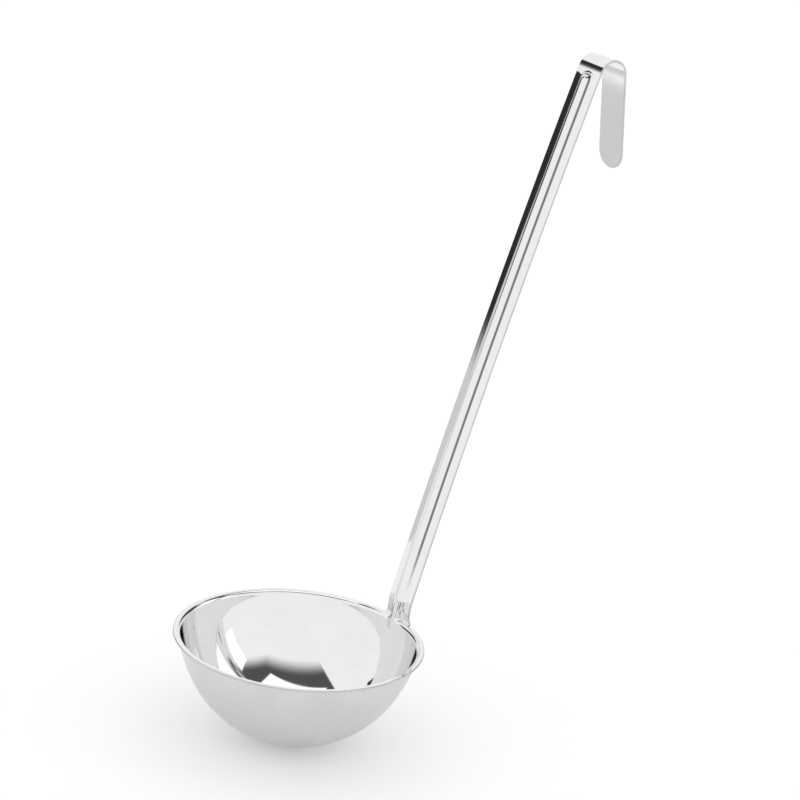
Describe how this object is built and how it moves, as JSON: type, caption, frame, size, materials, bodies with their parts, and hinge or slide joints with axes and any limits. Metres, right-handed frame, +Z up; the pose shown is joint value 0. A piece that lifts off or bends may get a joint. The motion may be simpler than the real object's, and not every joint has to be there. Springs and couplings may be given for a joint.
{
  "type": "soup ladle",
  "caption": "Stainless steel soup ladle with a deep round bowl, flared lip, long ribbed handle and a hooked end for hanging on a rail.",
  "frame": {"origin": "centre of the hook's bend, where the axis of a hanging rail lies", "axes": "+Z up with the bowl's rim level, +X from the bowl toward the handle's side, +Y along the rail the hook hangs on"},
  "size_m": [0.2525, 0.1374, 0.3738],
  "materials": {
    "polished_steel": "polished inside the bowl and along the handle, fine satin on the bowl's outside"
  },
  "bodies": {
    "root": {"bowl": "polished_steel", "handle": "polished_steel", "hook": "polished_steel"}
  },
  "joints": []
}
